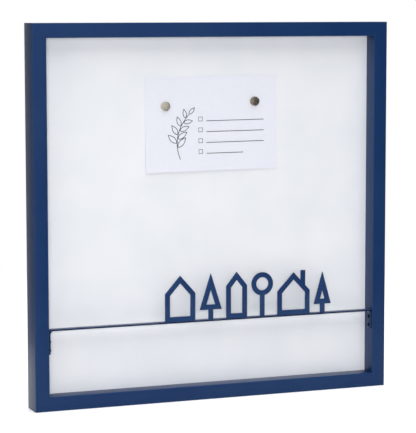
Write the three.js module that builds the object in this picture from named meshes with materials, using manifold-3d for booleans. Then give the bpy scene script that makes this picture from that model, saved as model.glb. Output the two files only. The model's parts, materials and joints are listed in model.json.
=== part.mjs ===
// Magnetic memo board: a mitred frame round a white steel sheet, with a bent bar of
// sheet-metal cut-outs across it, a card held by two disc magnets, and two ring hangers
// on the backing board. Millimetres: +X to the viewer's right, +Y to the back, +Z up.
// The origin is the middle of the frame's underside.

import * as THREE from 'three';
import { mergeVertices } from 'three/addons/utils/BufferGeometryUtils.js';
import Module from 'manifold-3d';

const wasm = await Module();
wasm.setup();

// Frame mouldings
const frameWidth = 400;
const frameHeight = 400;
const mouldingFace = 15.2;
const recessDepth = 18.7;
const rebateDepth = 9.3;
const rebateWidth = 6.2;
const arrisRadius = 0.8;
const mitreGap = 0.1;

// Clearances: faces that rest on each other, pieces let into another, panels in the rebate
const seatGap = 0.1;
const cutGap = 0.3;
const panelGap = 0.5;

// Panels in the rebate
const sheetThickness = 0.6;
const backingThickness = 3;

// Wedges that close the mitres from behind
const nailLeg = 7;
const nailThickness = 0.6;
const nailHeight = 8;
const nailSink = 0.5;

// Framer's points that hold the panels in
const pointWidth = 6;
const pointThickness = 0.7;
const pointReach = 9.5;
const pointBury = 5;
const pointTip = 2.5;
const pointCornerInset = 92;

// Bar across the opening, bent down into a tab at each end
const barTop = 85.4;
const barThickness = 1.5;
const barDepth = 9;
const barFrontInset = 0.5;
const barBendRadius = 5;
const tabLengths = { left: 26.2, right: 21.4 };

// Round-head screws through the tabs, up from each tab's foot
const screwRises = { upper: 13.4, lower: 4.2 };
const screwRadius = 1.3;
const screwLength = 10;
const screwTip = 2.5;
const screwHeadRadius = 2.2;
const screwHeadHeight = 1.6;
const crossLength = 2.4;
const crossWidth = 0.6;
const crossDepth = 0.9;

// Sheet-metal cut-outs in a row on the bar
const cutoutThickness = 1.5;
const cutoutStroke = 5.4;
const cutoutSpacing = 5.2;
const cutoutRightInset = 50.1;
const houseWide = { width: 34, eaves: 30, ridge: 49 };
const firTall = { width: 25, stem: 11, height: 50 };
const houseNarrow = { width: 24, eaves: 35, ridge: 50 };
const treeRound = { radius: 12.5, height: 48 };
const houseChimney = { width: 38, eaves: 26, ridge: 46, chimneyOffset: 11, chimneyTop: 48 };
const firSmall = { width: 20, stem: 10, height: 45 };

// Card and its magnets
const cardWidth = 150;
const cardHeight = 100;
const cardThickness = 0.4;
const cardOffset = 2.3;
const cardTopInset = 41.7;
const cardTilt = THREE.MathUtils.degToRad(0.4);
const magnetRadius = 5;
const magnetThickness = 3;
const magnetChamfer = 0.4;
const magnetInsets = { left: 22.4, right: 26 };
const magnetDrops = { left: 30.9, right: 27.2 };

// Ring hangers on the backing board
const hangerSpacing = 220;
const hangerTopInset = 29.3;
const strapWidth = 8;
const strapThickness = 0.8;
const strapEndMargin = 1.2;
const strapCurlEnd = THREE.MathUtils.degToRad(-110);
const wireRadius = 1;
const eyeGap = 0.3;
const ringSideGap = 2;
const ringSide = 3;
const ringCorner = 2;
const ringJointGap = 0.5;
const ringRivetGap = 1.5;
const rivetRadius = 1.5;
const rivetHeadRadius = 3;
const rivetHeadHeight = 1.1;
const rivetTailRadius = 2.4;
const rivetTailThickness = 0.6;
const rivetTailInset = 0.3;

// Facets on round work
const arrisSegments = 2;
const bendSegments = 4;
const roundSegments = 20;
const eyeSegments = 8;
const latheSegments = 20;
const domeSegments = 4;
const wireSides = 8;
const wireSteps = 40;
const cutOver = 1;

// Levels that follow from the sizes above
const frameDepth = recessDepth + rebateDepth;
const frontY = -frameDepth / 2;
const backY = frameDepth / 2;
const shoulderY = frontY + recessDepth;
const openingHalf = frameWidth / 2 - mouldingFace;
const openingTop = frameHeight - mouldingFace;
const rebateWall = mouldingFace - rebateWidth;
const panelWidth = frameWidth - 2 * (rebateWall + panelGap);
const panelHeight = frameHeight - 2 * (rebateWall + panelGap);
const sheetFrontY = shoulderY + seatGap;
const backingFrontY = sheetFrontY + sheetThickness + seatGap;
const backingBackY = backingFrontY + backingThickness;
const pointFrontY = backingBackY + seatGap;
const nailTopY = backY - nailSink;
const barFrontY = frontY + barFrontInset;
const barHalf = openingHalf - seatGap;
const screwY = barFrontY + barDepth / 2;
const cardFrontY = sheetFrontY - seatGap - cardThickness;
const cardTop = openingTop - cardTopInset;

// Hanger levels, from the eye's centre: the ring hangs clear of the rivet's head
const eyeBore = wireRadius + eyeGap;
const eyeOuter = eyeBore + strapThickness;
const ringHalf = strapWidth / 2 + ringSideGap + wireRadius;
const rivetDrop = ringSide + ringHalf + wireRadius + ringRivetGap + rivetHeadRadius;
const strapLength = rivetDrop + rivetHeadRadius + strapEndMargin;
const eyeHeight = openingTop - hangerTopInset;
const rivetHeight = eyeHeight - rivetDrop;
const rivetSeatDepth = rivetTailInset + rivetTailThickness + seatGap;

// Finishes
const navyPaint = { color: 0x243c66, roughness: 0.45, metalness: 0 };
const navyPowder = { color: 0x22406c, roughness: 0.5, metalness: 0.2 };
const whiteEnamel = { color: 0xe6eaf0, roughness: 0.4, metalness: 0.1 };
const fibreboard = { color: 0x8a6a48, roughness: 0.9, metalness: 0 };
const blackSteel = { color: 0x1c1e26, roughness: 0.5, metalness: 0.7 };
const zincSteel = { color: 0xa9adb0, roughness: 0.4, metalness: 0.9 };
const nickel = { color: 0xc4beb0, roughness: 0.25, metalness: 1 };
const paper = { color: 0xf2f3f7, roughness: 0.85, metalness: 0 };

function piece(name, geometry, finish) {
  const mesh = new THREE.Mesh(geometry, new THREE.MeshStandardMaterial(finish));
  mesh.name = name;
  return mesh;
}

// A closed geometry as a solid: shared corners merged, empty triangles left out
function toSolid(geometry) {
  const bare = geometry.clone();
  bare.deleteAttribute('normal');
  bare.deleteAttribute('uv');
  const merged = mergeVertices(bare);
  const corners = Array.from(merged.index.array);
  const triangles = [];
  for (let i = 0; i < corners.length; i += 3) {
    const [a, b, c] = corners.slice(i, i + 3);
    if (a !== b && b !== c && c !== a) triangles.push(a, b, c);
  }
  const vertProperties = new Float32Array(merged.attributes.position.array);
  const triVerts = new Uint32Array(triangles);
  return new wasm.Manifold(new wasm.Mesh({ numProp: 3, vertProperties, triVerts }));
}

function cut(geometry, cutters) {
  let solid = toSolid(geometry);
  for (const cutter of cutters) solid = solid.subtract(toSolid(cutter));
  const { vertProperties, triVerts } = solid.getMesh();
  const result = new THREE.BufferGeometry();
  result.setAttribute('position', new THREE.BufferAttribute(vertProperties, 3));
  result.setIndex(new THREE.BufferAttribute(triVerts, 1));
  result.computeVertexNormals();
  return result;
}

// A plate drawn in X and Z, from frontFaceY back to backFaceY
function plate(shape, frontFaceY, backFaceY, curveSegments = roundSegments) {
  const depth = backFaceY - frontFaceY;
  const geometry = new THREE.ExtrudeGeometry(shape, { depth, bevelEnabled: false, curveSegments });
  geometry.rotateX(Math.PI / 2);
  return geometry.translate(0, backFaceY, 0);
}

function outline(points) {
  return new THREE.Shape(points.map(([x, z]) => new THREE.Vector2(x, z)));
}

// A turned solid about Y, from pairs of radius and height
function turned(pairs) {
  const profile = pairs.map(([radius, height]) => new THREE.Vector2(radius, height));
  return new THREE.LatheGeometry(profile, latheSegments);
}

// The rim and crown of a domed head whose underside is at height low
function dome(radius, low, height) {
  const pairs = [];
  for (let i = 0; i <= domeSegments; i += 1) {
    const angle = (i / domeSegments) * Math.PI / 2;
    const across = i === domeSegments ? 0 : radius * Math.cos(angle);
    pairs.push([across, low + height * Math.sin(angle)]);
  }
  return pairs;
}

function rod(radius, length) {
  return new THREE.CylinderGeometry(radius, radius, length, latheSegments);
}

// One moulding along X: its outer face at z = 0, inward along +Z, both ends mitred
function moulding(length) {
  const profile = new THREE.Shape();
  profile.moveTo(0, backY);
  profile.lineTo(-rebateWall, backY);
  profile.lineTo(-rebateWall, shoulderY);
  profile.lineTo(-mouldingFace, shoulderY);
  profile.lineTo(-mouldingFace, frontY + arrisRadius);
  profile.absarc(arrisRadius - mouldingFace, frontY + arrisRadius, arrisRadius, Math.PI, 1.5 * Math.PI);
  profile.lineTo(-arrisRadius, frontY);
  profile.absarc(-arrisRadius, frontY + arrisRadius, arrisRadius, 1.5 * Math.PI, 2 * Math.PI);
  const options = { depth: length, bevelEnabled: false, curveSegments: arrisSegments };
  const geometry = new THREE.ExtrudeGeometry(profile, options);
  geometry.translate(0, 0, -length / 2);
  geometry.rotateY(Math.PI / 2);
  const position = geometry.attributes.position;
  for (let i = 0; i < position.count; i += 1) {
    const end = Math.sign(position.getX(i));
    position.setX(i, end * (length / 2 - position.getZ(i) - mitreGap));
  }
  return geometry;
}

// The wedge's outline about its bend, at a moulding's -X or +X end: a leg along each of the
// two mouldings that meet there
function nailOutline(end, grow) {
  const half = nailThickness / 2 + grow;
  const leg = nailLeg + grow;
  const corners = [[half, -half], [half, leg], [-half, leg], [-half, half], [-leg, half], [-leg, -half]];
  return outline(corners.map(([x, z]) => [end * x, z]));
}

function vNail(end, length) {
  const geometry = plate(nailOutline(end, 0), nailTopY - nailHeight, nailTopY);
  return geometry.translate(end * (length - rebateWall) / 2, 0, rebateWall / 2);
}

function vNailSlot(end, length) {
  const geometry = plate(nailOutline(end, cutGap), nailTopY - nailHeight - cutGap, backY + cutOver);
  return geometry.translate(end * (length - rebateWall) / 2, 0, rebateWall / 2);
}

// A framer's point across the rebate wall, its tip in the moulding
function framerPoint() {
  const half = pointWidth / 2;
  const inner = rebateWall + pointReach;
  const tip = rebateWall - pointBury;
  const neck = tip + pointTip;
  const shape = outline([[-half, neck], [0, tip], [half, neck], [half, inner], [-half, inner]]);
  return plate(shape, pointFrontY, pointFrontY + pointThickness);
}

function pointSlot(x) {
  const depth = pointBury + cutGap + cutOver;
  const slot = new THREE.BoxGeometry(pointWidth + 2 * cutGap, pointThickness + 2 * cutGap, depth);
  return slot.translate(x, pointFrontY + pointThickness / 2, rebateWall + cutOver - depth / 2);
}

// Heights of a tab's upper and lower screw
function screwHeights(side) {
  return Object.values(screwRises).map((rise) => barTop - tabLengths[side] + rise);
}

// A screw's pilot hole in a stile's inner face, at x along the stile
function pilotHole(x) {
  const depth = screwLength - barThickness + cutGap + cutOver;
  const hole = rod(screwRadius + cutGap, depth).rotateX(Math.PI / 2);
  return hole.translate(x, screwY, mouldingFace + cutOver - depth / 2);
}

// A moulding with the wedge at its +X end and its two points, to be turned into its place
function frameSide(name, corner, length, pilots) {
  const side = new THREE.Group();
  const pointPlaces = [pointCornerInset - length / 2, length / 2 - pointCornerInset];
  const cutters = [vNailSlot(-1, length), vNailSlot(1, length), ...pointPlaces.map(pointSlot), ...pilots];
  side.add(piece(name, cut(moulding(length), cutters), navyPaint));
  side.add(piece(`v_nail_${corner}`, vNail(1, length), zincSteel));
  pointPlaces.forEach((x, i) => {
    const point = piece(`point_${name.split('_')[1]}_${i + 1}`, framerPoint(), zincSteel);
    point.position.x = x;
    side.add(point);
  });
  return side;
}

function frame() {
  const bottom = frameSide('rail_bottom', 'bottom_right', frameWidth, []);
  const rightPilots = screwHeights('right').map((height) => pilotHole(height - frameHeight / 2));
  const right = frameSide('stile_right', 'top_right', frameHeight, rightPilots);
  right.rotation.y = -Math.PI / 2;
  right.position.set(frameWidth / 2, 0, frameHeight / 2);
  const top = frameSide('rail_top', 'top_left', frameWidth, []);
  top.rotation.y = Math.PI;
  top.position.z = frameHeight;
  const leftPilots = screwHeights('left').map((height) => pilotHole(frameHeight / 2 - height));
  const left = frameSide('stile_left', 'bottom_left', frameHeight, leftPilots);
  left.rotation.y = Math.PI / 2;
  left.position.set(-frameWidth / 2, 0, frameHeight / 2);
  return [bottom, right, top, left];
}

// Steel sheet and backing board, the backing bored for the hangers' rivets
function panels() {
  const face = new THREE.BoxGeometry(panelWidth, sheetThickness, panelHeight);
  const sheet = piece('steel_sheet', face, whiteEnamel);
  sheet.position.set(0, sheetFrontY + sheetThickness / 2, frameHeight / 2);
  const board = new THREE.BoxGeometry(panelWidth, backingThickness, panelHeight);
  const bores = [];
  for (const x of [-hangerSpacing / 2, hangerSpacing / 2]) {
    const z = rivetHeight - frameHeight / 2;
    const boreLength = backingThickness + 2 * cutOver;
    const seatLength = rivetSeatDepth + cutOver;
    const seatY = rivetSeatDepth - seatLength / 2 - backingThickness / 2;
    bores.push(rod(rivetRadius + cutGap, boreLength).translate(x, 0, z));
    bores.push(rod(rivetTailRadius + cutGap, seatLength).translate(x, seatY, z));
  }
  const backing = piece('backing_board', cut(board, bores), fibreboard);
  backing.position.set(0, backingFrontY + backingThickness / 2, frameHeight / 2);
  return [sheet, backing];
}

// The bar: a strip bent down at both ends, each tab bored for two screws
function motifBar() {
  const bend = barBendRadius;
  const inner = barBendRadius - barThickness;
  const leftFoot = barTop - tabLengths.left;
  const rightFoot = barTop - tabLengths.right;
  const shape = new THREE.Shape();
  shape.moveTo(-barHalf, leftFoot);
  shape.lineTo(barThickness - barHalf, leftFoot);
  shape.lineTo(barThickness - barHalf, barTop - bend);
  shape.absarc(bend - barHalf, barTop - bend, inner, Math.PI, Math.PI / 2, true);
  shape.lineTo(barHalf - bend, barTop - barThickness);
  shape.absarc(barHalf - bend, barTop - bend, inner, Math.PI / 2, 0, true);
  shape.lineTo(barHalf - barThickness, rightFoot);
  shape.lineTo(barHalf, rightFoot);
  shape.lineTo(barHalf, barTop - bend);
  shape.absarc(barHalf - bend, barTop - bend, bend, 0, Math.PI / 2);
  shape.lineTo(bend - barHalf, barTop);
  shape.absarc(bend - barHalf, barTop - bend, bend, Math.PI / 2, Math.PI);
  const strip = plate(shape, barFrontY, barFrontY + barDepth, bendSegments);
  const holes = [];
  const tabs = { left: barThickness / 2 - barHalf, right: barHalf - barThickness / 2 };
  for (const [side, x] of Object.entries(tabs)) {
    for (const height of screwHeights(side)) {
      const hole = rod(screwRadius + cutGap, barThickness + 2 * cutOver).rotateZ(Math.PI / 2);
      holes.push(hole.translate(x, screwY, height));
    }
  }
  return piece('motif_bar', cut(strip, holes), navyPowder);
}

// A round-head screw about Y, its head's underside at the origin, with a cross recess
function roundHeadScrew() {
  const shank = [[0, -screwLength], [screwRadius, screwTip - screwLength], [screwRadius, 0]];
  const body = turned([...shank, ...dome(screwHeadRadius, 0, screwHeadHeight)]);
  const recessTop = screwHeadHeight + cutOver;
  const height = crossDepth + cutOver;
  const slots = [[crossLength, crossWidth], [crossWidth, crossLength]].map(([x, z]) => {
    return new THREE.BoxGeometry(x, height, z).translate(0, recessTop - height / 2, 0);
  });
  return cut(body, slots);
}

function barScrews() {
  const screws = [];
  for (const [sideName, side] of [['left', -1], ['right', 1]]) {
    const heights = screwHeights(sideName);
    Object.keys(screwRises).forEach((level, i) => {
      const screw = piece(`bar_screw_${sideName}_${level}`, roundHeadScrew(), blackSteel);
      screw.rotation.z = side * Math.PI / 2;
      screw.position.set(side * (barHalf - barThickness - seatGap), screwY, heights[i]);
      screws.push(screw);
    });
  }
  return screws;
}

// An outlined house, its walls and roof one stroke wide, with an optional chimney
function houseShape({ width, eaves, ridge, chimneyOffset, chimneyTop }) {
  const half = width / 2;
  const innerHalf = half - cutoutStroke;
  const rise = (ridge - eaves) / half;
  const innerRidge = ridge - cutoutStroke * Math.hypot(1, rise);
  const points = [[-half, 0], [half, 0], [half, eaves]];
  if (chimneyTop !== undefined) {
    const far = chimneyOffset + cutoutStroke / 2;
    const near = chimneyOffset - cutoutStroke / 2;
    points.push([far, ridge - rise * far], [far, chimneyTop]);
    points.push([near, chimneyTop], [near, ridge - rise * near]);
  }
  points.push([0, ridge], [-half, eaves]);
  const shape = outline(points);
  const innerEaves = innerRidge - rise * innerHalf;
  const room = [
    [-innerHalf, cutoutStroke], [innerHalf, cutoutStroke], [innerHalf, innerEaves],
    [0, innerRidge], [-innerHalf, innerEaves],
  ];
  shape.holes.push(outline(room));
  return shape;
}

// An outlined fir: a hollow triangle on a stem
function firShape({ width, stem, height }) {
  const half = width / 2;
  const halfStem = cutoutStroke / 2;
  const slope = half / (height - stem);
  const innerTop = height - cutoutStroke * Math.hypot(1, 1 / slope);
  const innerBase = stem + cutoutStroke;
  const innerHalf = (innerTop - innerBase) * slope;
  const shape = outline([
    [-halfStem, 0], [halfStem, 0], [halfStem, stem], [half, stem],
    [0, height], [-half, stem], [-halfStem, stem],
  ]);
  shape.holes.push(outline([[-innerHalf, innerBase], [innerHalf, innerBase], [0, innerTop]]));
  return shape;
}

// An outlined round tree: a ring on a stem
function roundTreeShape({ radius, height }) {
  const halfStem = cutoutStroke / 2;
  const centre = height - radius;
  const meet = Math.asin(halfStem / radius);
  const shape = new THREE.Shape();
  shape.moveTo(-halfStem, 0);
  shape.lineTo(halfStem, 0);
  shape.lineTo(halfStem, centre - radius * Math.cos(meet));
  shape.absarc(0, centre, radius, meet - Math.PI / 2, 1.5 * Math.PI - meet);
  const hole = new THREE.Path();
  hole.absarc(0, centre, radius - cutoutStroke, 0, 2 * Math.PI);
  shape.holes.push(hole);
  return shape;
}

// The cut-outs in a row, counted from the right, flush with the bar's front edge
function cutouts() {
  const row = [
    ['fir_small', firShape(firSmall), firSmall.width],
    ['house_chimney', houseShape(houseChimney), houseChimney.width],
    ['tree_round', roundTreeShape(treeRound), 2 * treeRound.radius],
    ['house_narrow', houseShape(houseNarrow), houseNarrow.width],
    ['fir_tall', firShape(firTall), firTall.width],
    ['house_wide', houseShape(houseWide), houseWide.width],
  ];
  let right = openingHalf - cutoutRightInset;
  return row.map(([name, shape, width]) => {
    const cutout = piece(name, plate(shape, barFrontY, barFrontY + cutoutThickness), navyPowder);
    cutout.position.set(right - width / 2, 0, barTop);
    right -= width + cutoutSpacing;
    return cutout;
  });
}

// The card against the steel sheet and the two magnets on it
function cardAndMagnets() {
  const card = piece('memo_card', new THREE.BoxGeometry(cardWidth, cardThickness, cardHeight), paper);
  card.position.set(cardOffset, cardFrontY + cardThickness / 2, cardTop - cardHeight / 2);
  card.rotation.y = -cardTilt;
  const rim = magnetRadius - magnetChamfer;
  const disc = [
    [0, 0], [rim, 0], [magnetRadius, magnetChamfer], [magnetRadius, magnetThickness - magnetChamfer],
    [rim, magnetThickness], [0, magnetThickness],
  ];
  const places = {
    left: cardOffset - cardWidth / 2 + magnetInsets.left,
    right: cardOffset + cardWidth / 2 - magnetInsets.right,
  };
  const magnets = Object.entries(places).map(([side, x]) => {
    const magnet = piece(`magnet_${side}`, turned(disc), nickel);
    magnet.position.set(x, cardFrontY - seatGap - magnetThickness, cardTop - magnetDrops[side]);
    return magnet;
  });
  return [card, ...magnets];
}

// A strap in Y and Z, curled round the wire at its top and bored for the rivet
function hangerStrap() {
  const profile = new THREE.Shape();
  profile.moveTo(0, -strapLength);
  profile.lineTo(strapThickness, -strapLength);
  profile.lineTo(strapThickness, 0);
  profile.absarc(eyeOuter, 0, eyeBore, Math.PI, strapCurlEnd, true);
  profile.absarc(eyeOuter, 0, eyeOuter, strapCurlEnd, Math.PI);
  const options = { depth: strapWidth, bevelEnabled: false, curveSegments: eyeSegments };
  const strap = new THREE.ExtrudeGeometry(profile, options);
  strap.translate(0, 0, -strapWidth / 2);
  strap.rotateX(Math.PI / 2);
  strap.rotateZ(Math.PI / 2);
  const hole = rod(rivetRadius + cutGap, strapThickness + 2 * cutOver);
  return cut(strap, [hole.translate(0, strapThickness / 2, -rivetDrop)]);
}

// A ring of round wire hanging from its straight bar, its ends butted inside the eye
function hangerRing() {
  const path = new THREE.CurvePath();
  const bowPull = -ringSide - 4 / 3 * ringHalf;
  const bend = ringHalf - ringCorner;
  const at = (x, z) => new THREE.Vector3(x, 0, z);
  path.add(new THREE.LineCurve3(at(ringJointGap / 2, 0), at(bend, 0)));
  path.add(new THREE.QuadraticBezierCurve3(at(bend, 0), at(ringHalf, 0), at(ringHalf, -ringCorner)));
  path.add(new THREE.LineCurve3(at(ringHalf, -ringCorner), at(ringHalf, -ringSide)));
  const bowStart = at(ringHalf, -ringSide);
  const bowEnd = at(-ringHalf, -ringSide);
  path.add(new THREE.CubicBezierCurve3(bowStart, at(ringHalf, bowPull), at(-ringHalf, bowPull), bowEnd));
  path.add(new THREE.LineCurve3(bowEnd, at(-ringHalf, -ringCorner)));
  path.add(new THREE.QuadraticBezierCurve3(at(-ringHalf, -ringCorner), at(-ringHalf, 0), at(-bend, 0)));
  path.add(new THREE.LineCurve3(at(-bend, 0), at(-ringJointGap / 2, 0)));
  const section = new THREE.Shape();
  section.absarc(0, 0, wireRadius, 0, 2 * Math.PI);
  const options = { steps: wireSteps, curveSegments: wireSides / 2, extrudePath: path };
  return new THREE.ExtrudeGeometry(section, options);
}

// A domed rivet about Y, its tail spread inside the backing board's front face
function hangerRivet() {
  const tailLow = -seatGap - backingThickness + rivetTailInset;
  const tailHigh = tailLow + rivetTailThickness;
  const headLow = strapThickness + seatGap;
  const stem = [
    [0, tailLow], [rivetTailRadius, tailLow], [rivetTailRadius, tailHigh], [rivetRadius, tailHigh],
    [rivetRadius, headLow],
  ];
  return turned([...stem, ...dome(rivetHeadRadius, headLow, rivetHeadHeight)]);
}

function hanger(sideName, x) {
  const group = new THREE.Group();
  group.position.set(x, backingBackY + seatGap, eyeHeight);
  const ring = piece(`hanger_ring_${sideName}`, hangerRing(), nickel);
  ring.position.y = eyeOuter;
  const rivet = piece(`hanger_rivet_${sideName}`, hangerRivet(), zincSteel);
  rivet.position.z = -rivetDrop;
  group.add(piece(`hanger_strap_${sideName}`, hangerStrap(), nickel), ring, rivet);
  return group;
}

const memoBoard = new THREE.Group();
memoBoard.add(...frame(), ...panels(), motifBar(), ...barScrews(), ...cutouts(), ...cardAndMagnets());
memoBoard.add(hanger('left', -hangerSpacing / 2), hanger('right', hangerSpacing / 2));

export default memoBoard;
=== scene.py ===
import json
import math

import bmesh
import bpy
from mathutils import Euler, Matrix, Vector

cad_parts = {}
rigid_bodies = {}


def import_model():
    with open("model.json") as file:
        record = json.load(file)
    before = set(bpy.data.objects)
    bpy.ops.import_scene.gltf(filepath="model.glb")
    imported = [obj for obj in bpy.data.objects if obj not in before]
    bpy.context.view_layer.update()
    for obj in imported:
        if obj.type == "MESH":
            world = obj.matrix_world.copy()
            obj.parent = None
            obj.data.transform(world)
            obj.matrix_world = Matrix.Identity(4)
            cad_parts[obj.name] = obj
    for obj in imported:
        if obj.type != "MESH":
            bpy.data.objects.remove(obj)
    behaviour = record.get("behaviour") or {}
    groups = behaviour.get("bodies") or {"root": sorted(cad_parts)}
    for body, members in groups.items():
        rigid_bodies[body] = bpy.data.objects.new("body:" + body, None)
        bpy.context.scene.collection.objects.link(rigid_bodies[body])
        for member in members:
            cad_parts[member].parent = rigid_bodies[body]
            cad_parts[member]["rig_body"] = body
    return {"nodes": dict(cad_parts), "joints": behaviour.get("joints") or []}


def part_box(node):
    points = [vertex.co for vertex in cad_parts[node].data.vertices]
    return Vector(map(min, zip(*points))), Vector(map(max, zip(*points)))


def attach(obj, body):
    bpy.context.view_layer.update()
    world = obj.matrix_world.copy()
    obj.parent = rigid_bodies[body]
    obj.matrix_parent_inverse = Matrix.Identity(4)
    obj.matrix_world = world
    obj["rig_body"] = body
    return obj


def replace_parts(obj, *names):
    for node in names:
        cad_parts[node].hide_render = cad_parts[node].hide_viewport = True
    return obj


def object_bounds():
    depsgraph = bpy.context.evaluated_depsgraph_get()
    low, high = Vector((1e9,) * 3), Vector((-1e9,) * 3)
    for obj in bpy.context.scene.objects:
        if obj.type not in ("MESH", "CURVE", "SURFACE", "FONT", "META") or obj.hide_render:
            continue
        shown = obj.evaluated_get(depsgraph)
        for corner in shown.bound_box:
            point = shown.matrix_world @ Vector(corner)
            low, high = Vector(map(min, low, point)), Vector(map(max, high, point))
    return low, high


# Looks of the magnetic memo board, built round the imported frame.
# Metres; +X to the viewer's right, +Y to the back, +Z up. Sizes in the dictionaries are millimetres.

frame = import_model()
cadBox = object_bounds()
mm = 0.001

# Camera, at the photograph's viewing angle
cameraLook = {
    "place": (-756.0, -1907.4, 413.0),  # in front of the board and to its left
    "down": 6.084,                      # degrees below level
    "turn": 21.528,                     # degrees to the right
    "roll": -0.069,
    "lens": 161.18,
    "sensor": 36,                       # along the picture's longer side
}


def makeCamera(look):
    data = bpy.data.cameras.new("camera")
    data.lens = look["lens"]
    data.sensor_width = look["sensor"]
    view = bpy.data.objects.new("camera", data)
    turned = Euler((math.radians(90 - look["down"]), 0, math.radians(-look["turn"]))).to_matrix().to_4x4()
    rolled = Matrix.Rotation(math.radians(look["roll"]), 4, "Z")
    view.matrix_world = Matrix.Translation(Vector(look["place"]) * mm) @ turned @ rolled
    bpy.context.scene.collection.objects.link(view)
    bpy.context.scene.camera = view


makeCamera(cameraLook)
print("camera set")


# Colour and node helpers
def linear(hexColour):
    parts = [int(hexColour[i:i + 2], 16) / 255 for i in (1, 3, 5)]
    return [p / 12.92 if p <= 0.04045 else ((p + 0.055) / 1.055) ** 2.4 for p in parts] + [1]


def perMm(size):
    return 1 / (size * mm)  # pattern scale for a feature that many millimetres wide


def addNode(tree, kind, values=None, links=None, stops=None, **settings):
    node = tree.nodes.new(kind)
    for name, value in settings.items():
        setattr(node, name, value)
    for name, value in (values or {}).items():
        node.inputs[name].default_value = value
    for name, socket in (links or {}).items():
        tree.links.new(socket, node.inputs[name])
    for i, (place, hexColour) in enumerate(stops or []):
        spot = node.color_ramp.elements[i]
        spot.position = place
        spot.color = linear(hexColour)
    return node


def startFinish(name):
    material = bpy.data.materials.new(name)
    material.use_nodes = True
    tree = material.node_tree
    tree.nodes.clear()
    where = addNode(tree, "ShaderNodeTexCoord").outputs["Object"]
    return material, tree, where


def endFinish(tree, shader):
    addNode(tree, "ShaderNodeOutputMaterial", links={"Surface": shader.outputs[0]})


# Satin lacquer sprayed on fibreboard: an even deep blue, a soft sheen at low angles, faint spray
# stipple, and a thinner, paler coat on the arrises
def satinNavyPaint():
    look = {
        "deep": "#11305d",
        "light": "#163560",
        "thin": "#2c4875",
        "thinShare": 0.45,      # how far the coat wears to it on an arris
        "drift": 80,            # from a deep patch to a light one
        "stipple": 1.4,
        "stippleHeight": 0.04,
        "rough": (0.28, 0.34),
    }
    material, tree, where = startFinish("satinNavyPaint")
    drift = addNode(tree, "ShaderNodeTexNoise", {"Scale": perMm(look["drift"]), "Detail": 3},
                    {"Vector": where})
    coat = addNode(tree, "ShaderNodeValToRGB", links={"Fac": drift.outputs["Fac"]},
                   stops=[(0.35, look["deep"]), (0.65, look["light"])])
    arris = addNode(tree, "ShaderNodeAttribute", attribute_name="arris")
    thinness = addNode(tree, "ShaderNodeMapRange", {"To Max": look["thinShare"]},
                       {"Value": arris.outputs["Fac"]})
    colour = addNode(tree, "ShaderNodeMix", {7: linear(look["thin"])},
                     {0: thinness.outputs[0], 6: coat.outputs["Color"]}, data_type="RGBA")
    stipple = addNode(tree, "ShaderNodeTexNoise", {"Scale": perMm(look["stipple"]), "Detail": 2},
                      {"Vector": where})
    relief = addNode(tree, "ShaderNodeBump", {"Strength": 0.25, "Distance": look["stippleHeight"] * mm},
                     {"Height": stipple.outputs["Fac"]})
    smooth, rough = look["rough"]
    sheen = addNode(tree, "ShaderNodeMapRange", {"To Min": smooth, "To Max": rough},
                    {"Value": drift.outputs["Fac"]})
    shader = addNode(tree, "ShaderNodeBsdfPrincipled", {"IOR": 1.48, "Specular IOR Level": 0.2},
                     {"Base Color": colour.outputs[2], "Roughness": sheen.outputs[0],
                      "Normal": relief.outputs[0]})
    endFinish(tree, shader)
    return material


# Powder coat baked on sheet steel, white: a clean, slightly cool white with a fine orange peel
def whitePowderCoat():
    look = {
        "shade": "#e9ecf1",
        "light": "#eff1f5",
        "drift": 60,
        "peel": 0.9,
        "peelHeight": 0.03,
        "rough": (0.42, 0.5),
    }
    material, tree, where = startFinish("whitePowderCoat")
    drift = addNode(tree, "ShaderNodeTexNoise", {"Scale": perMm(look["drift"]), "Detail": 2},
                    {"Vector": where})
    colour = addNode(tree, "ShaderNodeValToRGB", links={"Fac": drift.outputs["Fac"]},
                     stops=[(0.3, look["shade"]), (0.7, look["light"])])
    peel = addNode(tree, "ShaderNodeTexNoise", {"Scale": perMm(look["peel"]), "Detail": 2},
                   {"Vector": where})
    relief = addNode(tree, "ShaderNodeBump", {"Strength": 0.2, "Distance": look["peelHeight"] * mm},
                     {"Height": peel.outputs["Fac"]})
    smooth, rough = look["rough"]
    sheen = addNode(tree, "ShaderNodeMapRange", {"To Min": smooth, "To Max": rough},
                    {"Value": drift.outputs["Fac"]})
    shader = addNode(tree, "ShaderNodeBsdfPrincipled", {"IOR": 1.5, "Specular IOR Level": 0.2},
                     {"Base Color": colour.outputs[0], "Roughness": sheen.outputs[0],
                      "Normal": relief.outputs[0]})
    endFinish(tree, shader)
    return material


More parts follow.
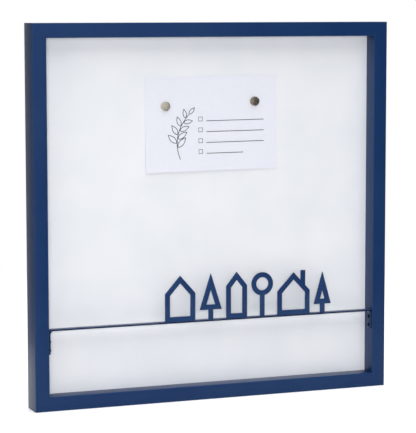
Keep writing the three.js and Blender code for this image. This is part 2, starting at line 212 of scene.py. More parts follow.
# Powder coat baked on sheet steel, navy: a shade brighter than the frame, with a finer, drier grain,
# and darker along the strip's cut edges, which is painted shade
def navyPowderCoat():
    look = {
        "deep": "#183460",
        "light": "#1e3b67",
        # painted shade on the strip's cut edges
        "edge": "#0d2145",
        "drift": 25,
        "grain": 0.7,
        "grainHeight": 0.05,
        "rough": (0.3, 0.4),
    }
    material, tree, where = startFinish("navyPowderCoat")
    drift = addNode(tree, "ShaderNodeTexNoise", {"Scale": perMm(look["drift"]), "Detail": 3},
                    {"Vector": where})
    coat = addNode(tree, "ShaderNodeValToRGB", links={"Fac": drift.outputs["Fac"]},
                   stops=[(0.35, look["deep"]), (0.65, look["light"])])
    # the darker colour on the cut edges is painted shade
    cut = addNode(tree, "ShaderNodeAttribute", attribute_name="cutEdge")
    colour = addNode(tree, "ShaderNodeMix", {7: linear(look["edge"])},
                     {0: cut.outputs["Fac"], 6: coat.outputs["Color"]}, data_type="RGBA")
    grain = addNode(tree, "ShaderNodeTexNoise", {"Scale": perMm(look["grain"]), "Detail": 3},
                    {"Vector": where})
    relief = addNode(tree, "ShaderNodeBump", {"Strength": 0.35, "Distance": look["grainHeight"] * mm},
                     {"Height": grain.outputs["Fac"]})
    smooth, rough = look["rough"]
    sheen = addNode(tree, "ShaderNodeMapRange", {"To Min": smooth, "To Max": rough},
                    {"Value": grain.outputs["Fac"]})
    shader = addNode(tree, "ShaderNodeBsdfPrincipled", {"IOR": 1.5, "Specular IOR Level": 0.2},
                     {"Base Color": colour.outputs[2], "Roughness": sheen.outputs[0],
                      "Normal": relief.outputs[0]})
    endFinish(tree, shader)
    return material


# Medium-density fibreboard, pressed and sanded: warm brown, fine fibres, slow blotches, dark flecks
def sandedFibreboard():
    look = {
        "dark": "#876746",
        "light": "#b2916a",
        "fleck": "#5c432b",
        "fleckShare": 0.6,    # how far a fleck darkens the ground
        "fibre": 1.1,         # single fibres are finer; drawn as bundles, so that they show
        "fibreHeight": 0.08,
        "blotch": 40,
        "flecks": 2.6,
        "rough": 0.88,
    }
    material, tree, where = startFinish("sandedFibreboard")
    fibre = addNode(tree, "ShaderNodeTexNoise",
                    {"Scale": perMm(look["fibre"]), "Detail": 6, "Roughness": 0.7}, {"Vector": where})
    blotch = addNode(tree, "ShaderNodeTexNoise", {"Scale": perMm(look["blotch"]), "Detail": 3},
                     {"Vector": where})
    both = addNode(tree, "ShaderNodeMath", {1: 0.35},
                   {0: blotch.outputs["Fac"], 2: fibre.outputs["Fac"]}, operation="MULTIPLY_ADD")
    ground = addNode(tree, "ShaderNodeValToRGB", links={"Fac": both.outputs[0]},
                     stops=[(0.45, look["dark"]), (0.9, look["light"])])
    flecks = addNode(tree, "ShaderNodeTexNoise", {"Scale": perMm(look["flecks"]), "Detail": 4},
                     {"Vector": where})
    share = addNode(tree, "ShaderNodeMapRange",
                    {"From Min": 0.6, "From Max": 0.72, "To Max": look["fleckShare"]},
                    {"Value": flecks.outputs["Fac"]})
    colour = addNode(tree, "ShaderNodeMix", {7: linear(look["fleck"])},
                     {0: share.outputs[0], 6: ground.outputs["Color"]}, data_type="RGBA")
    relief = addNode(tree, "ShaderNodeBump", {"Strength": 0.4, "Distance": look["fibreHeight"] * mm},
                     {"Height": fibre.outputs["Fac"]})
    shader = addNode(tree, "ShaderNodeBsdfPrincipled",
                     {"Roughness": look["rough"], "IOR": 1.45, "Specular IOR Level": 0.25},
                     {"Base Color": colour.outputs[2], "Normal": relief.outputs[0]})
    endFinish(tree, shader)
    return material


# Nickel plate, barrel polished: a warm bright metal with a slight haze and fine scuffs
def nickelPlate(name, dark, light):
    look = {
        "haze": 1.6,
        "scuff": 0.5,           # real scuffs are finer; drawn coarse enough to show
        "scuffHeight": 0.02,
        "rough": (0.2, 0.36),
    }
    material, tree, where = startFinish(name)
    haze = addNode(tree, "ShaderNodeTexNoise", {"Scale": perMm(look["haze"]), "Detail": 4},
                   {"Vector": where})
    colour = addNode(tree, "ShaderNodeValToRGB", links={"Fac": haze.outputs["Fac"]},
                     stops=[(0.3, dark), (0.7, light)])
    scuff = addNode(tree, "ShaderNodeTexNoise", {"Scale": perMm(look["scuff"]), "Detail": 2},
                    {"Vector": where})
    relief = addNode(tree, "ShaderNodeBump", {"Strength": 0.15, "Distance": look["scuffHeight"] * mm},
                     {"Height": scuff.outputs["Fac"]})
    smooth, rough = look["rough"]
    polish = addNode(tree, "ShaderNodeMapRange", {"To Min": smooth, "To Max": rough},
                     {"Value": haze.outputs["Fac"]})
    shader = addNode(tree, "ShaderNodeBsdfPrincipled", {"Metallic": 1},
                     {"Base Color": colour.outputs[0], "Roughness": polish.outputs[0],
                      "Normal": relief.outputs[0]})
    endFinish(tree, shader)
    return material


# Zinc plate, passivated: a bluish grey metal whose small crystals catch the light unevenly
def zincPlate():
    look = {
        "dark": "#9aa0a6",
        "light": "#c3c8cc",
        "crystal": 1.8,         # real crystals are finer; drawn coarse enough to show
        "rough": (0.3, 0.48),
    }
    material, tree, where = startFinish("zincPlate")
    crystal = addNode(tree, "ShaderNodeTexVoronoi", {"Scale": perMm(look["crystal"])}, {"Vector": where})
    colour = addNode(tree, "ShaderNodeValToRGB", links={"Fac": crystal.outputs["Color"]},
                     stops=[(0.2, look["dark"]), (0.8, look["light"])])
    smooth, rough = look["rough"]
    polish = addNode(tree, "ShaderNodeMapRange", {"To Min": smooth, "To Max": rough},
                     {"Value": crystal.outputs["Color"]})
    shader = addNode(tree, "ShaderNodeBsdfPrincipled", {"Metallic": 1},
                     {"Base Color": colour.outputs[0], "Roughness": polish.outputs[0]})
    endFinish(tree, shader)
    return material


# Steel blackened in a hot salt bath: near black, with a dull metal glint
def blackenedSteel():
    look = {"dark": "#15161c", "light": "#2c2e38", "mottle": 0.8, "rough": (0.36, 0.5)}
    material, tree, where = startFinish("blackenedSteel")
    mottle = addNode(tree, "ShaderNodeTexNoise", {"Scale": perMm(look["mottle"]), "Detail": 3},
                     {"Vector": where})
    colour = addNode(tree, "ShaderNodeValToRGB", links={"Fac": mottle.outputs["Fac"]},
                     stops=[(0.3, look["dark"]), (0.7, look["light"])])
    smooth, rough = look["rough"]
    polish = addNode(tree, "ShaderNodeMapRange", {"To Min": smooth, "To Max": rough},
                     {"Value": mottle.outputs["Fac"]})
    shader = addNode(tree, "ShaderNodeBsdfPrincipled", {"Metallic": 1},
                     {"Base Color": colour.outputs[0], "Roughness": polish.outputs[0]})
    endFinish(tree, shader)
    return material


# Uncoated white card: matt, a little cool, with a soft felt of fibres
def uncoatedCard():
    look = {
        "shade": "#e6e8f3",
        "light": "#eceef7",
        "felt": 1.2,
        "fibre": 0.5,         # single fibres are finer; drawn coarse enough to show
        "fibreHeight": 0.02,
        "rough": 0.85,
    }
    material, tree, where = startFinish("uncoatedCard")
    felt = addNode(tree, "ShaderNodeTexNoise", {"Scale": perMm(look["felt"]), "Detail": 5},
                   {"Vector": where})
    colour = addNode(tree, "ShaderNodeValToRGB", links={"Fac": felt.outputs["Fac"]},
                     stops=[(0.3, look["shade"]), (0.7, look["light"])])
    fibre = addNode(tree, "ShaderNodeTexNoise", {"Scale": perMm(look["fibre"]), "Detail": 4},
                    {"Vector": where})
    relief = addNode(tree, "ShaderNodeBump", {"Strength": 0.3, "Distance": look["fibreHeight"] * mm},
                     {"Height": fibre.outputs["Fac"]})
    shader = addNode(tree, "ShaderNodeBsdfPrincipled",
                     {"Roughness": look["rough"], "IOR": 1.5, "Specular IOR Level": 0.3},
                     {"Base Color": colour.outputs[0], "Normal": relief.outputs[0]})
    endFinish(tree, shader)
    return material


# Litho ink on card: a soft black that lies unevenly in the fibres
def printInk():
    look = {"full": "#2b2c34", "thin": "#4a4c57", "lie": 0.7, "rough": 0.6}
    material, tree, where = startFinish("printInk")
    lie = addNode(tree, "ShaderNodeTexNoise", {"Scale": perMm(look["lie"]), "Detail": 4},
                  {"Vector": where})
    colour = addNode(tree, "ShaderNodeValToRGB", links={"Fac": lie.outputs["Fac"]},
                     stops=[(0.35, look["full"]), (0.7, look["thin"])])
    shader = addNode(tree, "ShaderNodeBsdfPrincipled",
                     {"Roughness": look["rough"], "IOR": 1.5, "Specular IOR Level": 0.3},
                     {"Base Color": colour.outputs[0]})
    endFinish(tree, shader)
    return material


paint = satinNavyPaint()
whiteCoat = whitePowderCoat()
navyCoat = navyPowderCoat()
fibreboard = sandedFibreboard()
nickel = nickelPlate("nickelPlate", "#bcb5a7", "#d3ccbd")
# a duller nickel for the right magnet, partly painted shade: its darkness also stands in for the darker
# surroundings it mirrors
dullAndShadedNickel = nickelPlate("nickelPlateDulled", "#8b7e72", "#a6998c")
zinc = zincPlate()
blackSteel = blackenedSteel()
cardStock = uncoatedCard()
ink = printInk()
print("finishes made")

# Mesh helpers
meshLook = {
    "crease": 35,       # degrees between faces that stay sharp
    "sharp": 25,        # degrees between faces whose edge is rounded over
    "flat": 1,          # degrees between faces that join into one
    "weld": 0.001,
    "stripSteps": 4,    # along a strip's rounded end
    "wireSides": 16,
}


def roundedLine(corners, steps, closed=False):
    # corners hold x, y and a radius
    points = []
    last = len(corners) - 1
    for i, (x, y, radius) in enumerate(corners):
        here = Vector((x, y))
        if radius == 0 or (not closed and i in (0, last)):
            points.append(here)
            continue
        before = (Vector(corners[i - 1][:2]) - here).normalized()
        after = (Vector(corners[(i + 1) % len(corners)][:2]) - here).normalized()
        half = before.angle(after) / 2
        centre = here + (before + after).normalized() * radius / math.sin(half)
        start = here + before * radius / math.tan(half) - centre
        end = here + after * radius / math.tan(half) - centre
        angle = math.atan2(start.y, start.x)
        turn = (math.atan2(end.y, end.x) - angle + math.pi) % (2 * math.pi) - math.pi
        for k in range(steps + 1):
            along = angle + turn * k / steps
            points.append(centre + radius * Vector((math.cos(along), math.sin(along))))
    return points


def skin(rings):
    mesh = bmesh.new()
    loops = [[mesh.verts.new(point) for point in ring] for ring in rings]
    for near, far in zip(loops, loops[1:]):
        for i in range(len(near)):
            j = (i + 1) % len(near)
            mesh.faces.new((near[i], near[j], far[j], far[i]))
    mesh.faces.new(loops[0])
    mesh.faces.new(loops[-1])
    bmesh.ops.recalc_face_normals(mesh, faces=mesh.faces)
    return mesh


def turnedPiece(centre, profile, steps):
    # profile holds radius and place along Y, in metres
    angles = [2 * math.pi * k / steps for k in range(steps)]
    rings = []
    for radius, y in profile:
        rings.append([centre + Vector((radius * math.cos(a), y, radius * math.sin(a))) for a in angles])
    return skin(rings)


def pathFrames(path):
    # each point with its direction and its distance from the nearer end
    lengths = [0]
    for a, b in zip(path, path[1:]):
        lengths.append(lengths[-1] + (b - a).length)
    frames = []
    for i, point in enumerate(path):
        ahead = path[min(i + 1, len(path) - 1)] - path[max(i - 1, 0)]
        frames.append((point, ahead.normalized(), min(lengths[i], lengths[-1] - lengths[i])))
    return frames


def bentStrip(path, across, breadth, thick, edge, endRound):
    steps = meshLook["stripSteps"]
    spots = [endRound * (1 - math.cos(math.pi / 2 * k / steps)) for k in range(1, steps + 1)]
    head = (path[1] - path[0]).normalized()
    tail = (path[-2] - path[-1]).normalized()
    full = [path[0], *[path[0] + head * s for s in spots], *path[1:-1]]
    full += [*[path[-1] + tail * s for s in reversed(spots)], path[-1]]
    rings = []
    for point, ahead, fromEnd in pathFrames(full):
        short = max(0, endRound - fromEnd)
        half = breadth / 2 - endRound + math.sqrt(max(0, endRound ** 2 - short ** 2))
        corners = [(x * thick / 2, y * half, edge) for x, y in ((-1, -1), (1, -1), (1, 1), (-1, 1))]
        out = across.cross(ahead).normalized()
        rings.append([point + out * p.x + across * p.y for p in roundedLine(corners, 2, closed=True)])
    return skin(rings)


def roundWire(path, across, radius):
    sides = meshLook["wireSides"]
    angles = [2 * math.pi * k / sides for k in range(sides)]
    rings = []
    for point, ahead, _ in pathFrames(path):
        out = across.cross(ahead).normalized()
        rings.append([point + radius * (out * math.cos(a) + across * math.sin(a)) for a in angles])
    return skin(rings)


def nodeCopy(node):
    # a CAD node's own shape, with its flat faces whole again
    mesh = bmesh.new()
    mesh.from_mesh(frame["nodes"][node].data)
    bmesh.ops.remove_doubles(mesh, verts=mesh.verts, dist=meshLook["weld"] * mm)
    bmesh.ops.dissolve_limit(mesh, angle_limit=math.radians(meshLook["flat"]), verts=mesh.verts,
                             edges=mesh.edges)
    return mesh


def easedCopy(node, width):
    # the same with its sharp edges rounded over
    mesh = nodeCopy(node)
    sharpest = math.radians(meshLook["sharp"])
    sharp = [e for e in mesh.edges if e.is_manifold and e.calc_face_angle() > sharpest]
    bmesh.ops.bevel(mesh, geom=sharp, offset=width * mm, segments=2, profile=0.5, affect="EDGES",
                    clamp_overlap=True)
    return mesh


def addPiece(name, mesh, finish, body):
    data = bpy.data.meshes.new(name)
    mesh.to_mesh(data)
    mesh.free()
    data.polygons.foreach_set("use_smooth", [True] * len(data.polygons))
    data.set_sharp_from_angle(angle=math.radians(meshLook["crease"]))
    data.materials.append(finish)
    piece = bpy.data.objects.new(name, data)
    bpy.context.scene.collection.objects.link(piece)
    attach(piece, body)
    return piece


def standFor(node, mesh, finish):
    first, *others = node.split("_")
    name = first + "".join(word.capitalize() for word in others)
    piece = addPiece(name, mesh, finish, frame["nodes"][node]["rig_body"])
    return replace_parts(piece, node)


def coatNode(node, finish):
    data = frame["nodes"][node].data
    data.materials.clear()
    data.materials.append(finish)


# Frame: four mitred mouldings, each cut for the wedges in its mitres
railLook = {
    "arris": 0.8,        # front edges
    "backArris": 0.4,
    "lipArris": 0.2,     # back of the rebate's lip
    "arrisSteps": 4,
    "panelGap": 0.5,     # between a panel and the rebate's wall
    "shoulderGap": 0.1,  # between the steel sheet and the rebate's shoulder
    "mitreGap": 0.01,
    "mitreEase": 0.05,
    "wedgeThick": 0.6,
    "wedgeGap": 0.12,
}
wedgeEase = 0.08  # edges of the wedges in the mitres
pointEase = 0.12  # edges of the framer's points


def railOutline(inset):
    look = {name: value * mm for name, value in railLook.items()}
    low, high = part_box("rail_bottom")
    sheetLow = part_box("steel_sheet")[0]
    face = high.z - inset
    wall = sheetLow.x - look["panelGap"] - cadBox[0].x - inset
    shoulder = sheetLow.y - look["shoulderGap"] - inset
    back = high.y - inset
    front = low.y + inset
    corners = [
        (inset, back, look["backArris"]), (wall, back, look["backArris"]), (wall, shoulder, 0),
        (face, shoulder, look["lipArris"]), (face, front, look["arris"]), (inset, front, look["arris"]),
    ]
    return roundedLine(corners, railLook["arrisSteps"], closed=True)


def wedgeSlot(side):
    low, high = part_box("v_nail_bottom_right")
    thick = railLook["wedgeThick"] * mm
    gap = railLook["wedgeGap"] * mm
    left, right = low.x - gap, high.x + gap
    bottom, top = low.z - gap, high.z + gap
    inX, inZ = high.x - thick - gap, low.z + thick + gap
    corners = [(right, bottom), (right, top), (inX, top), (inX, inZ), (left, inZ), (left, bottom)]
    ends = (low.y - gap, cadBox[1].y + mm)
    return skin([[Vector((side * x, y, z)) for x, z in corners] for y in ends])


def cutSlot(piece, side):
    cutter = bpy.data.objects.new("slot", bpy.data.meshes.new("slot"))
    bpy.context.scene.collection.objects.link(cutter)
    cutMesh = wedgeSlot(side)
    cutMesh.to_mesh(cutter.data)
    cutMesh.free()
    slot = piece.modifiers.new("slot", "BOOLEAN")
    slot.object = cutter
    slot.solver = "EXACT"
    view = bpy.context.evaluated_depsgraph_get()
    piece.data = bpy.data.meshes.new_from_object(piece.evaluated_get(view))
    piece.modifiers.clear()
    bpy.data.objects.remove(cutter)


def markArris(data):
    # 1 along the middle of each front arris, 0 elsewhere
    within = 0.99 * railLook["arris"] * mm  # short of the flats that the arris runs into
    low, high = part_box("rail_bottom")
    values = []
    for vert in data.vertices:
        aside = min(vert.co.z - low.z, high.z - vert.co.z)
        behind = vert.co.y - low.y
        values.append(float(aside < within and behind < within))
    data.attributes.new("arris", "FLOAT", "POINT").data.foreach_set("value", values)


def rail(node, turn):
    # made as the bottom rail, then turned about the frame's middle
    ease = railLook["mitreEase"] * mm
    gap = railLook["mitreGap"] * mm
    half = cadBox[1].x
    rings = []
    for side, inset in ((-1, ease), (-1, 0), (1, 0), (1, ease)):
        back = gap + ease - inset
        rings.append([Vector((side * (half - p.x - back), p.y, p.x)) for p in railOutline(inset)])
    piece = standFor(node, skin(rings), paint)
    for side in (-1, 1):
        cutSlot(piece, side)
    markArris(piece.data)
    middle = Matrix.Translation((0, 0, (cadBox[0].z + cadBox[1].z) / 2))
    piece.data.transform(middle @ Matrix.Rotation(math.radians(turn), 4, "Y") @ middle.inverted())
    piece.data.set_sharp_from_angle(angle=math.radians(meshLook["crease"]))


for node, turn in (("rail_bottom", 0), ("stile_right", -90), ("rail_top", 180), ("stile_left", 90)):
    rail(node, turn)
for node in frame["nodes"]:
    if node.startswith("v_nail"):
        standFor(node, easedCopy(node, wedgeEase), zinc)
    if node.startswith("point"):
        standFor(node, easedCopy(node, pointEase), zinc)
coatNode("steel_sheet", whiteCoat)
coatNode("backing_board", fibreboard)
print("frame and panels done")

# Bar: a strip bent down into a tab at each end, with cut-outs standing on it
barLook = {
    "thick": 1.5,
    "bend": 5,          # outer radius
    "bendSteps": 10,
    "rightTab": 21.4,   # shorter than the left one
    "edge": 0.4,
    "tabRound": 2,
    "cutoutEase": 0.3,
}


def motifBar():
    low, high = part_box("motif_bar")
    thick = barLook["thick"] * mm
    inset = thick / 2
    bend = barLook["bend"] * mm - inset
    rightFoot = high.z - barLook["rightTab"] * mm
    depth = (low.y + high.y) / 2
    corners = [(low.x + inset, low.z, 0), (low.x + inset, high.z - inset, bend),
               (high.x - inset, high.z - inset, bend), (high.x - inset, rightFoot, 0)]
    path = [Vector((p.x, depth, p.y)) for p in roundedLine(corners, barLook["bendSteps"])]
    strip = bentStrip(path, Vector((0, 1, 0)), high.y - low.y, thick, barLook["edge"] * mm,
                      barLook["tabRound"] * mm)
    # the cut edges marked here are darkened in the navy coat as painted shade
    cutEdge = strip.faces.layers.float.new("cutEdge")
    for face in strip.faces:
        face[cutEdge] = 1 if abs(face.normal.y) > 0.3 else 0  # turned to the front or the back
    standFor("motif_bar", strip, navyCoat)


motifBar()
for node in ("house_wide", "fir_tall", "house_narrow", "tree_round", "house_chimney", "fir_small"):
    standFor(node, easedCopy(node, barLook["cutoutEase"]), navyCoat)
for node in frame["nodes"]:
    if node.startswith("bar_screw"):
        standFor(node, nodeCopy(node), blackSteel)
print("bar and cut-outs done")

# Card: held by the magnets near its top, its lower edge coming away from the board
cardLook = {
    "width": 150,
    "height": 100,
    "thick": 0.4,
    "tilt": 0.4,        # degrees, right side up
    "hold": 21,         # magnets' height above the card's middle
    "holdSpan": 100,    # about the magnets' distance from each other
    "rightLift": 0.7,   # lower corners off the board
    "leftLift": 1.8,
    "topLift": 0.6,
    "lean": 1.5,        # power by which the lift gathers towards the left side
    "curl": 2.2,        # and towards the lower edge
    "bow": 0.25,        # between the magnets
    "columns": 60,
    "rows": 40,
}
cardLow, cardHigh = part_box("memo_card")
cardMiddle = (cardLow + cardHigh) / 2


def cardLift(u, v):
    look = cardLook
    leftness = 0.5 - u / look["width"]
    below = max(0, look["hold"] - v) / (look["hold"] + look["height"] / 2)
    above = max(0, v - look["hold"]) / (look["height"] / 2 - look["hold"])
    lower = look["rightLift"] + (look["leftLift"] - look["rightLift"]) * leftness ** look["lean"]
    lift = lower * below ** look["curl"]
    lift += look["topLift"] * above ** 2 * (2 * u / look["width"]) ** 2
    return lift + look["bow"] * max(0, math.cos(math.pi * u / look["holdSpan"])) ** 2 * (1 - below)


def cardPoint(u, v, above):
    # u and v in millimetres from the card's middle, above its front face towards the viewer
    tilt = math.radians(cardLook["tilt"])
    across = u * math.cos(tilt) - v * math.sin(tilt)
    up = u * math.sin(tilt) + v * math.cos(tilt)
    out = cardLift(u, v) + above
    return Vector((cardMiddle.x + across * mm, cardLow.y - out * mm, cardMiddle.z + up * mm))


def memoCard():
    look = cardLook
    mesh = bmesh.new()
    sides = []
    for above in (0, -look["thick"]):
        grid = []
        for row in range(look["rows"] + 1):
            v = look["height"] * (row / look["rows"] - 0.5)
            line = [look["width"] * (k / look["columns"] - 0.5) for k in range(look["columns"] + 1)]
            grid.append([mesh.verts.new(cardPoint(u, v, above)) for u in line])
        sides.append(grid)
        for lower, upper in zip(grid, grid[1:]):
            for k in range(look["columns"]):
                mesh.faces.new((lower[k], lower[k + 1], upper[k + 1], upper[k]))
    rims = []
    for grid in sides:
        rims.append([*grid[0], *[row[-1] for row in grid[1:-1]], *reversed(grid[-1]),
                     *[row[0] for row in reversed(grid[1:-1])]])
    front, back = rims
    for i in range(len(front)):
        j = (i + 1) % len(front)
        mesh.faces.new((front[i], front[j], back[j], back[i]))
    bmesh.ops.recalc_face_normals(mesh, faces=mesh.faces)
    standFor("memo_card", mesh, cardStock)


# Print on the card: a leaf sprig on the left and a ruled list on the right
printLook = {
    "line": 0.75,
    "raised": 0.04,
    "sunk": 0.03,
    "stem": ((-36, -37), (-46, -12), (-26, 10)),  # foot, pull and tip of its curve
    "stemSteps": 24,
    "leaves": 9,
    "firstLeaf": 0.25,   # share of the stem below it
    "leafLength": 13,
    "leafWidth": 5.2,
    "leafAngle": 48,
    "leafSkew": 0.85,    # under 1, so that a leaf is widest nearer the stem
    "leafSteps": 16,
    "lowLeaf": 1.15,     # leaves get smaller up the stem
    "leafLoss": 0.45,
    "rules": 4,
    "ruleTop": 3,
    "ruleStep": 11.5,
    "ruleLeft": -6,
    "ruleRight": 60,
    "lastRule": 0.6,     # the last rule stops short
    "ruleSteps": 24,
    "box": 4.2,
    "boxAway": 1.6,      # box widths from a rule's start to its box
}


def inkStroke(mesh, line, width, closed=False):
    raised, sunk = printLook["raised"], -printLook["sunk"]
    loops = []
    count = len(line)
    for i, point in enumerate(line):
        ahead = line[(i + 1) % count] if closed or i < count - 1 else point
        behind = line[i - 1] if closed or i > 0 else point
        along = (ahead - behind).normalized()
        aside = Vector((-along.y, along.x)) * width / 2
        left, right = point + aside, point - aside
        corners = [(left, raised), (right, raised), (right, sunk), (left, sunk)]
        loops.append([mesh.verts.new(cardPoint(spot.x, spot.y, above)) for spot, above in corners])
    pairs = list(zip(loops, loops[1:]))
    if closed:
        pairs.append((loops[-1], loops[0]))
    for near, far in pairs:
        for k in range(4):
            m = (k + 1) % 4
            mesh.faces.new((near[k], near[m], far[m], far[k]))
    if not closed:
        mesh.faces.new(loops[0])
        mesh.faces.new(loops[-1])


def leafEdge(start, out, size):
    look = printLook
    side = Vector((-out.y, out.x))
    steps = look["leafSteps"]
    edge = []
    for k in range(2 * steps):
        s = k / steps if k <= steps else (2 * steps - k) / steps
        bulge = look["leafWidth"] / 2 * math.sin(math.pi * s ** look["leafSkew"]) * (1 if k <= steps else -1)
        edge.append(start + size * (out * look["leafLength"] * s + side * bulge))
    return edge


def sprig(mesh):
    look = printLook
    a, b, c = (Vector(p) for p in look["stem"])

    def stemAt(t):
        return a * (1 - t) ** 2 + b * 2 * t * (1 - t) + c * t ** 2

    steps = look["stemSteps"]
    inkStroke(mesh, [stemAt(k / steps) for k in range(steps + 1)], look["line"])
    last = look["leaves"] - 1
    for i in range(look["leaves"]):
        t = look["firstLeaf"] + (1 - look["firstLeaf"]) * i / last
        along = ((b - a) * (1 - t) + (c - b) * t).normalized()
        swing = 0 if i == last else math.radians(look["leafAngle"]) * (1 if i % 2 else -1)
        out = Matrix.Rotation(swing, 2) @ along
        size = look["lowLeaf"] - look["leafLoss"] * t
        inkStroke(mesh, leafEdge(stemAt(t) + out * look["line"], out, size), look["line"], closed=True)


def ruledList(mesh):
    look = printLook
    left = look["ruleLeft"]
    steps = look["ruleSteps"]
    half = look["box"] / 2
    for i in range(look["rules"]):
        v = look["ruleTop"] - look["ruleStep"] * i
        right = look["ruleRight"] if i < look["rules"] - 1 else look["ruleRight"] * look["lastRule"]
        line = [Vector((left + (right - left) * k / steps, v)) for k in range(steps + 1)]
        inkStroke(mesh, line, look["line"])
        centre = Vector((left - look["boxAway"] * look["box"], v + half))
        square = [Vector((x * half, y * half)) + centre for x, y in ((-1, -1), (1, -1), (1, 1), (-1, 1))]
        inkStroke(mesh, square, look["line"], closed=True)


def cardPrint():
    mesh = bmesh.new()
    sprig(mesh)
    ruledList(mesh)
    bmesh.ops.recalc_face_normals(mesh, faces=mesh.faces)
    addPiece("cardPrint", mesh, ink, "card")


memoCard()
cardPrint()
print("card done")

# Magnets: plated discs with a rolled edge
magnetLook = {"edge": 0.5, "edgeSteps": 4, "sides": 64}


def magnet(node, finish):
    low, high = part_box(node)
    edge = magnetLook["edge"] * mm
    radius = (high.x - low.x) / 2
    thick = high.y - low.y
    corners = [(0, 0, 0), (radius, 0, edge), (radius, thick, edge), (0, thick, 0)]
    profile = [(p.x, p.y) for p in roundedLine(corners, magnetLook["edgeSteps"])][1:-1]
    centre = Vector(((low.x + high.x) / 2, low.y, (low.z + high.z) / 2))
    standFor(node, turnedPiece(centre, profile, magnetLook["sides"]), finish)


magnet("magnet_left", nickel)
# the right magnet's darker plate is partly painted shade
magnet("magnet_right", dullAndShadedNickel)
print("magnets done")

# Ring hangers: a strap curled round the ring's bar, and a rivet through the strap
hangerLook = {
    "strapThick": 0.8,
    "strapEdge": 0.2,
    "strapRound": 2.2,
    "curlEnd": -110,     # degrees
    "curlSteps": 24,
    "ringSide": 3,
    "ringCorner": 2,
    "cornerSteps": 8,
    "ringJoint": 0.25,   # half the gap between the wire's ends
    "bowSteps": 32,
    "headHeight": 1.1,
    "headSteps": 10,
    "headTop": 0.02,     # flat at the head's top, as a share of its radius
    "shank": 0.5,        # share of the head's radius
    "sides": 48,
}


def hangerStrap(side, eye):
    node = "hanger_strap_" + side
    low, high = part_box(node)
    thick = hangerLook["strapThick"] * mm
    curl = eye.y - low.y - thick / 2
    path = [Vector((eye.x, low.y + thick / 2, low.z)), Vector((eye.x, low.y + thick / 2, eye.z))]
    steps = hangerLook["curlSteps"]
    for k in range(1, steps + 1):
        angle = math.radians(180 + (hangerLook["curlEnd"] - 180) * k / steps)
        path.append(eye + curl * Vector((0, math.cos(angle), math.sin(angle))))
    strip = bentStrip(path, Vector((1, 0, 0)), high.x - low.x, thick, hangerLook["strapEdge"] * mm,
                      hangerLook["strapRound"] * mm)
    standFor(node, strip, nickel)


def hangerRing(side, eye):
    node = "hanger_ring_" + side
    low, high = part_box(node)
    wire = (high.y - low.y) / 2
    half = (high.x - low.x) / 2 - wire
    drop = hangerLook["ringSide"] * mm
    corner = hangerLook["ringCorner"] * mm
    corners = [(hangerLook["ringJoint"] * mm, 0, 0), (half, 0, corner), (half, -drop, 0)]
    right = [Vector((p.x, 0, p.y)) for p in roundedLine(corners, hangerLook["cornerSteps"])]
    bow = []
    steps = hangerLook["bowSteps"]
    for k in range(1, steps):
        angle = math.pi * k / steps
        bow.append(Vector((half * math.cos(angle), 0, -drop - half * math.sin(angle))))
    left = [Vector((-p.x, 0, p.z)) for p in reversed(right)]
    path = [eye + p for p in [*right, *bow, *left]]
    standFor(node, roundWire(path, Vector((0, 1, 0)), wire), nickel)


def hangerRivet(side):
    node = "hanger_rivet_" + side
    low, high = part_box(node)
    radius = (high.x - low.x) / 2
    shank = hangerLook["shank"] * radius
    height = hangerLook["headHeight"] * mm
    foot = high.y - height
    steps = hangerLook["headSteps"]
    profile = [(shank, foot - height), (shank, foot)]
    for k in range(steps):
        angle = math.pi / 2 * k / steps
        profile.append((radius * math.cos(angle), foot + height * math.sin(angle)))
    profile.append((hangerLook["headTop"] * radius, high.y))
    centre = Vector(((low.x + high.x) / 2, 0, (low.z + high.z) / 2))
    standFor(node, turnedPiece(centre, profile, hangerLook["sides"]), zinc)


for joint in frame["joints"]:
    if joint["type"] == "hinge":
        side = joint["name"].split("_")[0]
        hangerStrap(side, Vector(joint["pos_m"]))
        hangerRing(side, Vector(joint["pos_m"]))
        hangerRivet(side)
print("hangers done")

# Studio: pale floor, white surround, soft light from the viewer's side, the front, above, the left and the
# back, and grey cards that show only where the object mirrors them
studioLook = {
    "surround": 0.05,          # strength of the white surround as light
    "floor": "#f4f4f4",
    "floorSpan": 2400,
    "floorGap": 0.1,           # under the object
    "floorGlow": 0.53,         # what the camera sees on top of the floor's own light
    "floorFade": (500, 1100),  # from the object's shadow to plain white
}
lightLook = {
    "main": {"place": (-980, -2480, 480), "aim": (0, 0, 220), "width": 600, "height": 600, "watts": 26.3},
    "front": {"place": (-150, -2080, 380), "aim": (0, 0, 220), "width": 2000, "height": 500, "watts": 6.5},
    "top": {"place": (0, -1000, 2100), "aim": (0, 0, 200), "width": 2000, "height": 2000, "watts": 26.5},
    "left": {"place": (-1750, -816, 738), "aim": (0, 0, 220), "width": 900, "height": 900, "watts": 3.5},
    "back": {"place": (900, 2100, 800), "aim": (0, 0, 200), "width": 1600, "height": 1000, "watts": 50},
}
greyCards = {
    "frontCard": {"place": (815, -500, 450), "width": 1200, "height": 900, "shade": "#6e6f74"},
    "lowCard": {"place": (32, -500, 105), "width": 366, "height": 210, "shade": "#84858a"},
    "leftCard": {"place": (-730, 350, 500), "width": 1000, "height": 1000, "shade": "#9a9b9e"},
}
white = (1, 1, 1, 1)


# 1 for the rays that see or mirror the background, 0 for those that only light the object
def seenRays(tree):
    path = addNode(tree, "ShaderNodeLightPath")
    mirrored = addNode(tree, "ShaderNodeMath", operation="MAXIMUM",
                       links={0: path.outputs["Is Glossy Ray"], 1: path.outputs["Is Transmission Ray"]})
    seen = addNode(tree, "ShaderNodeMath", operation="MAXIMUM",
                   links={0: path.outputs["Is Camera Ray"], 1: mirrored.outputs[0]})
    return seen.outputs[0]


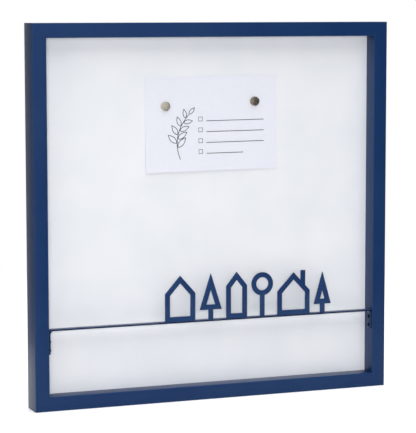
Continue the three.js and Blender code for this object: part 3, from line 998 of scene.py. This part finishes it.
def studioWorld(look):
    world = bpy.data.worlds.new("studio")
    world.use_nodes = True
    tree = world.node_tree
    tree.nodes.clear()
    light = addNode(tree, "ShaderNodeBackground", {"Color": white, "Strength": look["surround"]})
    plain = addNode(tree, "ShaderNodeBackground", {"Color": white, "Strength": 1})
    mixed = addNode(tree, "ShaderNodeMixShader",
                    links={0: seenRays(tree), 1: light.outputs[0], 2: plain.outputs[0]})
    addNode(tree, "ShaderNodeOutputWorld", links={"Surface": mixed.outputs[0]})
    bpy.context.scene.world = world


# Matt seamless paper: pale where the object's shadow falls, fading to plain white further out
def palePaper(look):
    material, tree, where = startFinish("paleFloor")
    seen = seenRays(tree)
    glow = addNode(tree, "ShaderNodeMath", {1: look["floorGlow"]}, {0: seen}, operation="MULTIPLY")
    near = addNode(tree, "ShaderNodeBsdfPrincipled",
                   {"Base Color": linear(look["floor"]), "Roughness": 0.9, "Specular IOR Level": 0.1,
                    "Emission Color": white}, {"Emission Strength": glow.outputs[0]})
    plain = addNode(tree, "ShaderNodeEmission", {"Color": white, "Strength": 1})
    away = addNode(tree, "ShaderNodeVectorMath", links={0: where}, operation="LENGTH")
    start, end = look["floorFade"]
    fade = addNode(tree, "ShaderNodeMapRange", {"From Min": start * mm, "From Max": end * mm, "To Max": 1},
                   {"Value": away.outputs["Value"]}, interpolation_type="SMOOTHSTEP")
    share = addNode(tree, "ShaderNodeMath", links={0: fade.outputs[0], 1: seen}, operation="MULTIPLY")
    shader = addNode(tree, "ShaderNodeMixShader",
                     links={0: share.outputs[0], 1: near.outputs[0], 2: plain.outputs[0]})
    endFinish(tree, shader)
    return material


def studioPiece(name, mesh, finish):
    data = bpy.data.meshes.new(name)
    mesh.to_mesh(data)
    mesh.free()
    data.materials.append(finish)
    piece = bpy.data.objects.new(name, data)
    bpy.context.scene.collection.objects.link(piece)
    return piece


def studioFloor(look):
    mesh = bmesh.new()
    bmesh.ops.create_grid(mesh, x_segments=1, y_segments=1, size=look["floorSpan"] / 2 * mm)
    floor = studioPiece("floor", mesh, palePaper(look))
    floor.location.z = cadBox[0].z - look["floorGap"] * mm


def softLight(name, look):
    data = bpy.data.lights.new(name, "AREA")
    data.shape = "RECTANGLE"
    data.size = look["width"] * mm
    data.size_y = look["height"] * mm
    data.energy = look["watts"]
    lamp = bpy.data.objects.new(name, data)
    place = Vector(look["place"]) * mm
    towards = Vector(look["aim"]) * mm - place
    lamp.matrix_world = Matrix.Translation(place) @ towards.to_track_quat("-Z", "Y").to_matrix().to_4x4()
    lamp.visible_camera = lamp.visible_glossy = False  # neither seen nor mirrored
    bpy.context.scene.collection.objects.link(lamp)


def greyCard(name, look):
    cloth, tree, _ = startFinish(f"{name}Cloth")
    endFinish(tree, addNode(tree, "ShaderNodeBsdfDiffuse", {"Color": linear(look["shade"])}))
    mesh = bmesh.new()
    across, up = look["width"] / 2 * mm, look["height"] / 2 * mm
    corners = [(x * across, 0, z * up) for x, z in ((-1, -1), (1, -1), (1, 1), (-1, 1))]
    mesh.faces.new([mesh.verts.new(corner) for corner in corners])
    card = studioPiece(name, mesh, cloth)
    card.location = Vector(look["place"]) * mm
    card.visible_camera = card.visible_diffuse = card.visible_shadow = False


studioWorld(studioLook)
studioFloor(studioLook)
for name, look in lightLook.items():
    softLight(name, look)
for name, look in greyCards.items():
    greyCard(name, look)
bpy.context.scene.view_settings.view_transform = "Standard"
print("studio set")
